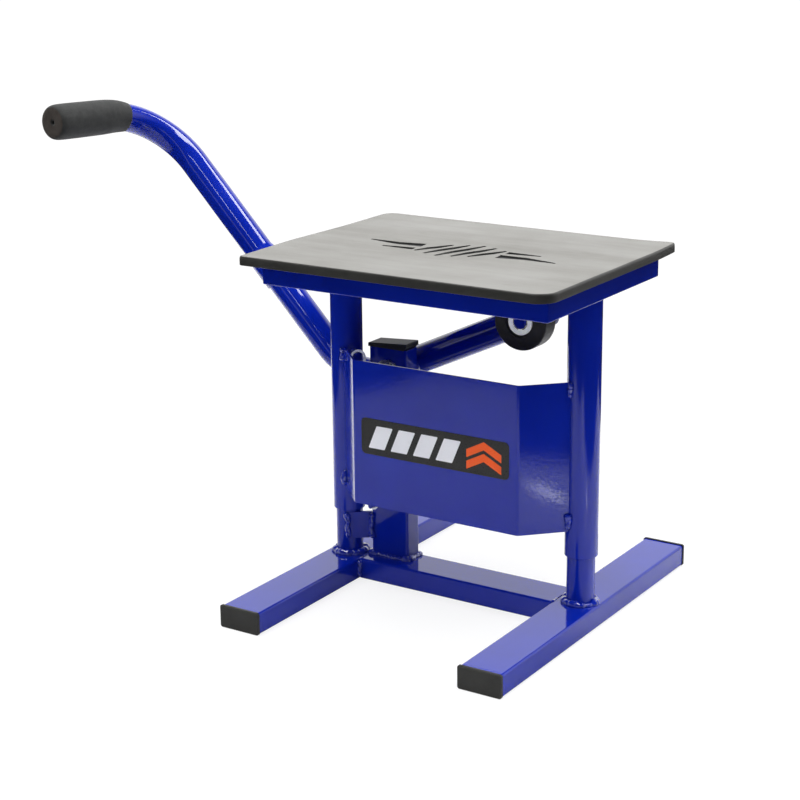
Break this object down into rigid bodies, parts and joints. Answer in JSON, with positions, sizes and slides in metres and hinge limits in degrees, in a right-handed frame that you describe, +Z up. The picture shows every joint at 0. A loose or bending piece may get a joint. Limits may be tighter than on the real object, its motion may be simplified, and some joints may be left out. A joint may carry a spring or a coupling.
{
  "type": "motorcycle lift stand",
  "caption": "Floor stand for an off-road motorcycle: a rubber-topped table slides up posts on a floor frame when a cranked hand lever swings its roller under the table.",
  "frame": {"origin": "on the floor, midway between the two posts, on the underside of the cross tube", "axes": "+X along the table's long side, away from the handle; +Y towards the lever side, away from the cover plate; +Z up"},
  "size_m": [0.5493, 0.35, 0.4358],
  "materials": {
    "blue_powder_coat": "gloss deep blue powder coat with slight orange peel",
    "black_plastic": "moulded black polyethylene",
    "mat_rubber": "smooth dark grey rubber with a slight sheen",
    "grip_foam": "closed-cell foam rubber, matt",
    "zinc_steel": "bright zinc plate",
    "roller_rubber": "hard black rubber",
    "bush_nylon": "off-white nylon",
    "label_vinyl": "printed vinyl label with a plain pictogram"
  },
  "bodies": {
    "base": {"left_foot": "blue_powder_coat", "right_foot": "blue_powder_coat", "foot_end_caps": "black_plastic", "cross_tube": "blue_powder_coat", "left_post": "blue_powder_coat", "right_post": "blue_powder_coat", "pivot_post": "blue_powder_coat", "post_bracket": "blue_powder_coat", "pivot_post_cap": "black_plastic", "pivot_bolt": "zinc_steel", "pivot_nut": "zinc_steel", "pivot_washers": "zinc_steel", "lower_spring_pin": "blue_powder_coat", "hold_down_spring": "zinc_steel"},
    "table": {"left_sleeve": "blue_powder_coat", "right_sleeve": "blue_powder_coat", "table_tray": "blue_powder_coat", "rubber_mat": "mat_rubber", "cover_plate": "blue_powder_coat", "decal": "label_vinyl", "roller_track": "blue_powder_coat", "upper_spring_pin": "blue_powder_coat"},
    "lever": {"lever_hub": "blue_powder_coat", "hub_bush": "bush_nylon", "lever_tube": "blue_powder_coat", "roller_arm": "blue_powder_coat", "handle_tube": "blue_powder_coat", "handle_bolt": "zinc_steel", "handle_nut": "zinc_steel", "grip": "grip_foam", "roller_axle": "blue_powder_coat", "axle_circlip": "zinc_steel", "axle_washer": "zinc_steel"},
    "roller": {"roller": "roller_rubber", "roller_bush": "bush_nylon"}
  },
  "joints": [
    {"name": "lever_pivot", "type": "hinge", "parent": "base", "child": "lever", "pos_m": [-0.0795, 0.0377, 0.2], "axis": [0, -1, 0], "range_deg": [0, 65]},
    {"name": "table_lift", "type": "slide", "parent": "base", "child": "table", "axis": [0, 0, 1], "range_m": [0, 0.0869], "stiffness_N_per_m": 300, "springref_m": -0.03, "deforming": ["hold_down_spring"]},
    {"name": "roller_spin", "type": "hinge", "parent": "lever", "child": "roller", "pos_m": [0.057, 0.0135, 0.2637], "axis": [0, 1, 0], "continuous": true}
  ],
  "couplings": [
    {"joint": "table_lift", "follows": "lever_pivot", "m_per_rad": 0.076628}
  ]
}
